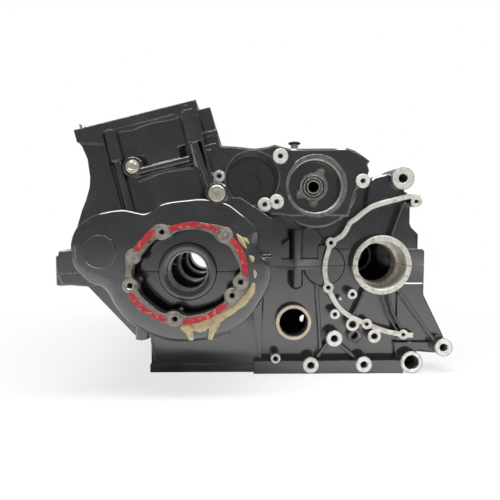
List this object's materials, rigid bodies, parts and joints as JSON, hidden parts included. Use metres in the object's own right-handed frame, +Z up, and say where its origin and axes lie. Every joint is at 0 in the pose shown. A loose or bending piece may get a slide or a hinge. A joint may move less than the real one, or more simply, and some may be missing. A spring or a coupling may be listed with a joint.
{
  "type": "engine crankcase",
  "caption": "Split engine crankcase with a leaning cylinder block, open alternator space, output shaft bore and gearbox housing, gloss black with bare machined faces.",
  "frame": {"origin": "on the sump face, below the middle of the object's box", "axes": "+X to the rear of the engine, +Y from the alternator side to the clutch side, +Z up"},
  "size_m": [0.476, 0.352, 0.3302],
  "materials": {
    "black_casting": "gloss black paint over cast aluminium, with bare machined faces",
    "honed_iron": "honed",
    "bearing_shell": "satin",
    "bearing_steel": "ground and polished",
    "grey_steel": "dull grey",
    "zinc_steel": "zinc plated",
    "yellow_zinc": "yellowish zinc plate",
    "soft_washer": "dull",
    "bright_steel": "bright",
    "stub_aluminium": "cast, bare",
    "cap_rubber": "matt",
    "red_gasket": "torn red fibre gasket",
    "tan_sealant": "dried tan sealant"
  },
  "bodies": {
    "crankcase": {"bearing_retainer_plate": "grey_steel", "breather_cap": "cap_rubber", "breather_stub": "stub_aluminium", "broken_screw_stub": "bright_steel", "cover_dowel": "bright_steel", "cylinder_liner_1": "honed_iron", "cylinder_liner_2": "honed_iron", "cylinder_liner_3": "honed_iron", "deck_dowel_1": "bright_steel", "deck_dowel_2": "bright_steel", "front_joint_bolt_1": "zinc_steel", "front_joint_bolt_2": "zinc_steel", "front_joint_bolt_3": "zinc_steel", "front_joint_bolt_4": "zinc_steel", "gallery_plug": "yellow_zinc", "gallery_plug_washer": "soft_washer", "gasket_remnant_1": "red_gasket", "gasket_remnant_2": "red_gasket", "gasket_remnant_3": "red_gasket", "gasket_remnant_4": "red_gasket", "gasket_remnant_5": "red_gasket", "gasket_remnant_6": "red_gasket", "jacket_plug": "yellow_zinc", "jacket_plug_washer": "soft_washer", "locating_pin": "bright_steel", "lower_crankcase": "black_casting", "main_bearing_shell_lower_1": "bearing_shell", "main_bearing_shell_lower_2": "bearing_shell", "main_bearing_shell_lower_3": "bearing_shell", "main_bearing_shell_upper_1": "bearing_shell", "main_bearing_shell_upper_2": "bearing_shell", "main_bearing_shell_upper_3": "bearing_shell", "main_bolt_1": "zinc_steel", "main_bolt_2": "zinc_steel", "main_bolt_3": "zinc_steel", "main_bolt_4": "zinc_steel", "main_bolt_5": "zinc_steel", "main_bolt_6": "zinc_steel", "main_bolt_7": "zinc_steel", "main_bolt_8": "zinc_steel", "pocket_bearing_outer_race": "bearing_steel", "rear_joint_bolt_1": "zinc_steel", "rear_joint_bolt_2": "zinc_steel", "retainer_screw_1": "grey_steel", "retainer_screw_2": "grey_steel", "retainer_screw_3": "grey_steel", "sealant_residue_1": "tan_sealant", "sealant_residue_2": "tan_sealant", "sealant_residue_3": "tan_sealant", "thread_insert": "bright_steel", "upper_crankcase": "black_casting"},
    "inner_race": {"pocket_bearing_inner_race": "bearing_steel"},
    "cage": {"pocket_bearing_cage": "bearing_steel"}
  },
  "joints": [
    {"name": "inner_race_spin", "type": "hinge", "parent": "crankcase", "child": "inner_race", "pos_m": [0.0586, -0.0787, 0.2373], "axis": [0, 1, 0], "continuous": true},
    {"name": "cage_spin", "type": "hinge", "parent": "crankcase", "child": "cage", "pos_m": [0.0586, -0.0787, 0.2373], "axis": [0, 1, 0], "continuous": true}
  ]
}
